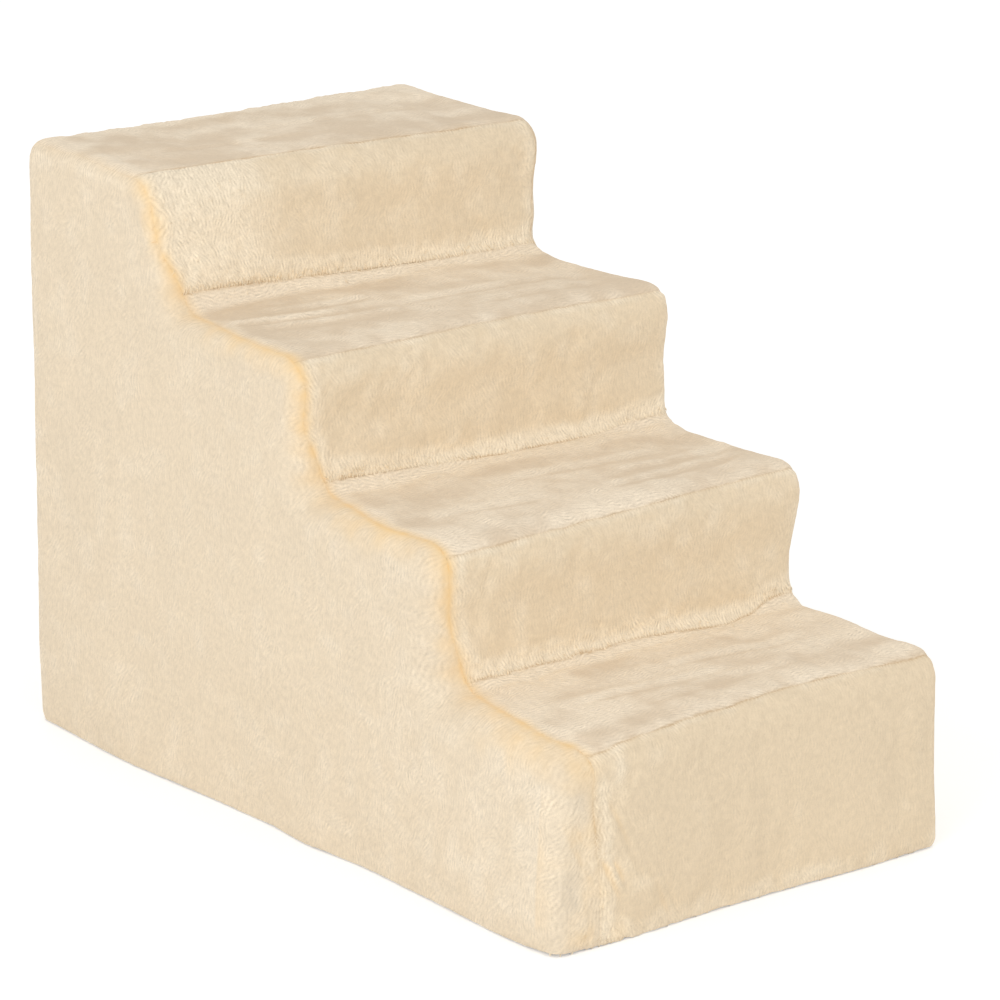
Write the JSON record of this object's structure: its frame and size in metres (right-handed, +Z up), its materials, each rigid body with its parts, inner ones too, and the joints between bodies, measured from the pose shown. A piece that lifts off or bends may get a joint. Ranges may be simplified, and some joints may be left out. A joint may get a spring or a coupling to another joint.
{
  "type": "pet stairs",
  "caption": "Foam pet stairs in a fitted plush cover with sewn treads, risers and sides, a zipped back and a grip base.",
  "frame": {"origin": "on the floor, under the middle of the whole box, in which the zip's slider and pull tab at the back are counted", "axes": "+Z up, -Y towards the front of the lowest step, +Y towards the high back, +X towards the right side"},
  "size_m": [0.4, 0.7104, 0.519],
  "materials": {
    "plush": "matte",
    "foam": "matte",
    "grip_fabric": "matte",
    "zip_tape": "matte",
    "zip_coil": "satin",
    "zip_metal": "satin"
  },
  "bodies": {
    "stairs": {"foam_slab_1": "foam", "foam_slab_2": "foam", "foam_slab_3": "foam", "foam_slab_4": "foam", "riser_panel_1": "plush", "riser_panel_2": "plush", "riser_panel_3": "plush", "riser_panel_4": "plush", "tread_panel_1": "plush", "tread_panel_2": "plush", "tread_panel_3": "plush", "tread_panel_4": "plush", "left_side_panel": "plush", "right_side_panel": "plush", "back_border": "plush", "back_flap": "plush", "base_panel": "grip_fabric", "zip_tape_outer": "zip_tape", "zip_tape_inner": "zip_tape", "zip_coil_outer": "zip_coil", "zip_coil_inner": "zip_coil", "zip_end_stops": "zip_metal"},
    "slider": {"zip_slider": "zip_metal"},
    "pull_tab": {"zip_pull_tab": "zip_metal"}
  },
  "joints": [
    {"name": "zip_slide", "type": "slide", "parent": "stairs", "child": "slider", "axis": [0, 0, 1], "range_m": [0, 0.398]},
    {"name": "pull_tab_swing", "type": "hinge", "parent": "slider", "child": "pull_tab", "pos_m": [0.163, 0.35335, 0.0333], "axis": [1, 0, 0], "range_deg": [0, 180]}
  ]
}
